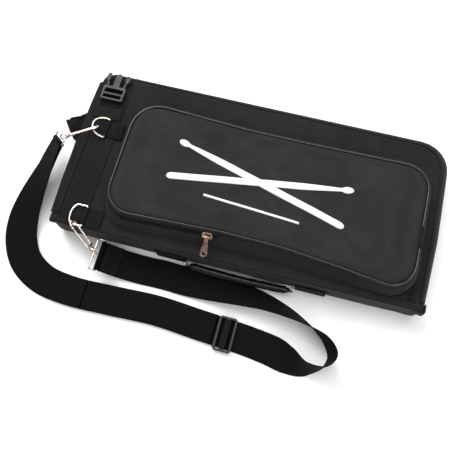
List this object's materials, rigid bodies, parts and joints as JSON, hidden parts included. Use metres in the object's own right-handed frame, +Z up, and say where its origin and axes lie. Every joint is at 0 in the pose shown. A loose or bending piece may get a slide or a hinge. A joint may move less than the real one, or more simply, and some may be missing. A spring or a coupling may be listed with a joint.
{
  "type": "drum stick bag",
  "caption": "Padded fabric drum stick case that opens like a book, with a zipped front pocket, side handle, side-release buckle and detachable webbing shoulder strap.",
  "frame": {"origin": "on the plane the bag lies on, below the centre of the closed case", "axes": "+X from the mouth to the bottom end, +Y from the spine to the zip side, +Z up out of the front pocket"},
  "size_m": [0.5579, 0.3398, 0.0745],
  "materials": {
    "shell_fabric": "black woven polyester, matt",
    "panel_fabric": "charcoal woven polyester, matt",
    "lining_fabric": "smooth black lining cloth",
    "webbing": "ribbed black webbing",
    "zip_tape": "black zip tape",
    "zip_coil": "black nylon coil",
    "vinyl_piping": "glossy black vinyl",
    "buckle_plastic": "black moulded plastic",
    "nickel": "polished nickel plate",
    "slider_metal": "warm-toned plated zinc"
  },
  "bodies": {
    "back_half": {"back_shell": "shell_fabric", "back_lining": "lining_fabric", "back_sleeves": "lining_fabric", "zip_tape_back": "zip_tape", "zip_coil_back": "zip_coil", "strap_main": "webbing", "strap_doubled": "webbing", "strap_end_return": "webbing", "strap_fold_lower": "webbing", "loop_lower": "nickel", "eye_lower": "nickel", "handle_tab_left": "webbing", "handle_tab_right": "webbing"},
    "front_half": {"front_shell": "shell_fabric", "front_lining": "lining_fabric", "front_sleeves": "lining_fabric", "mouth_band": "shell_fabric", "mouth_binding": "shell_fabric", "zip_tape_front": "zip_tape", "zip_coil_front": "zip_coil", "pocket_gusset": "shell_fabric", "pocket_gusset_lower": "shell_fabric", "pocket_coil_lower": "zip_coil", "pocket_face": "panel_fabric", "pocket_piping": "vinyl_piping", "buckle_patch": "shell_fabric", "dring_tab_upper": "webbing", "dring_tab_lower": "webbing", "eye_upper": "nickel", "loop_upper": "nickel", "strap_lead": "webbing", "strap_doubled_lead": "webbing", "strap_fold_upper": "webbing"},
    "pocket_lid": {"lid_face": "panel_fabric", "lid_gusset": "shell_fabric", "lid_coil": "zip_coil", "lid_piping": "vinyl_piping"},
    "pocket_slider": {"pocket_slider": "slider_metal"},
    "pocket_pull": {"pocket_pull": "slider_metal"},
    "main_slider": {"main_slider": "slider_metal"},
    "main_pull": {"main_pull": "slider_metal"},
    "buckle_male": {"buckle_male": "buckle_plastic", "buckle_webbing": "webbing"},
    "buckle_female": {"buckle_female": "buckle_plastic", "buckle_female_webbing": "webbing"},
    "dring_upper": {"dring_upper": "nickel"},
    "dring_lower": {"dring_lower": "nickel"},
    "hook_upper": {"hook_upper": "nickel"},
    "hook_upper_gate": {"hook_upper_gate": "nickel"},
    "hook_lower": {"hook_lower": "nickel"},
    "hook_lower_gate": {"hook_lower_gate": "nickel"},
    "adjuster": {"adjuster": "buckle_plastic", "adjuster_webbing": "webbing"},
    "handle": {"handle_grip": "webbing", "handle_ring_left": "nickel", "handle_ring_right": "nickel"},
    "corner_flap": {"corner_flap": "panel_fabric"}
  },
  "joints": [
    {"name": "bag_open", "type": "hinge", "parent": "back_half", "child": "front_half", "pos_m": [0, -0.1135, 0.0539], "axis": [1, 0, 0], "range_deg": [0, 120]},
    {"name": "pocket_lid_open", "type": "hinge", "parent": "front_half", "child": "pocket_lid", "pos_m": [-0.018, 0, 0.0748], "axis": [0, 1, 0], "range_deg": [0, 110]},
    {"name": "pocket_slider_travel", "type": "slide", "parent": "pocket_lid", "child": "pocket_slider", "axis": [-0.9991, -0.0431, 0], "range_m": [0, 0.085]},
    {"name": "pocket_pull_swing", "type": "hinge", "parent": "pocket_slider", "child": "pocket_pull", "pos_m": [-0.03377, -0.09369, 0.07008], "axis": [0.9991, 0.0431, 0], "range_deg": [0, 30]},
    {"name": "main_slider_travel", "type": "slide", "parent": "back_half", "child": "main_slider", "axis": [1, 0, 0], "range_m": [0, 0.365]},
    {"name": "main_pull_swing", "type": "hinge", "parent": "main_slider", "child": "main_pull", "pos_m": [-0.2, 0.1175, 0.032], "axis": [1, 0, 0], "range_deg": [0, 100]},
    {"name": "buckle_male_swing", "type": "hinge", "parent": "front_half", "child": "buckle_male", "pos_m": [-0.2155, 0.0573, 0.0538], "axis": [1, 0, 0], "range_deg": [0, 100]},
    {"name": "buckle_female_swing", "type": "hinge", "parent": "back_half", "child": "buckle_female", "pos_m": [-0.239, 0.074, 0.0055], "axis": [0, -1, 0], "range_deg": [0, 60]},
    {"name": "dring_upper_swing", "type": "hinge", "parent": "front_half", "child": "dring_upper", "pos_m": [-0.208, 0.0245, 0.0539], "axis": [0, 1, 0], "range_deg": [0, 3]},
    {"name": "dring_lower_swing", "type": "hinge", "parent": "front_half", "child": "dring_lower", "pos_m": [-0.1945, -0.1, 0.0539], "axis": [0, 1, 0], "range_deg": [0, 3]},
    {"name": "hook_upper_swivel", "type": "hinge", "parent": "front_half", "child": "hook_upper", "pos_m": [-0.25152, 0.00303, 0.05634], "axis": [0.8626, 0.5008, 0.071], "range_deg": [-8, 8]},
    {"name": "hook_upper_gate_open", "type": "hinge", "parent": "hook_upper", "child": "hook_upper_gate", "pos_m": [-0.2523, 0.0057, 0.05266], "axis": [0.4423, -0.6787, -0.5863], "range_deg": [0, 12], "stiffness_Nm_per_rad": 0.02, "springref_deg": -5.73},
    {"name": "hook_lower_swivel", "type": "hinge", "parent": "back_half", "child": "hook_lower", "pos_m": [-0.18154, -0.13151, 0.03519], "axis": [-0.6608, 0.5206, 0.5406], "range_deg": [-8, 8]},
    {"name": "hook_lower_gate_open", "type": "hinge", "parent": "hook_lower", "child": "hook_lower_gate", "pos_m": [-0.1818, -0.13462, 0.0386], "axis": [-0.7506, -0.4584, -0.476], "range_deg": [0, 12], "stiffness_Nm_per_rad": 0.02, "springref_deg": -5.73},
    {"name": "adjuster_travel", "type": "slide", "parent": "back_half", "child": "adjuster", "axis": [1, 0, 0], "range_m": [0, 0.03]},
    {"name": "handle_swing", "type": "hinge", "parent": "back_half", "child": "handle", "pos_m": [0, -0.12, 0.0275], "axis": [-1, 0, 0], "range_deg": [0, 70]},
    {"name": "corner_flap_lift", "type": "hinge", "parent": "back_half", "child": "corner_flap", "pos_m": [-0.2465, 0.05, 0.006], "axis": [0, 1, 0], "range_deg": [0, 35]}
  ]
}
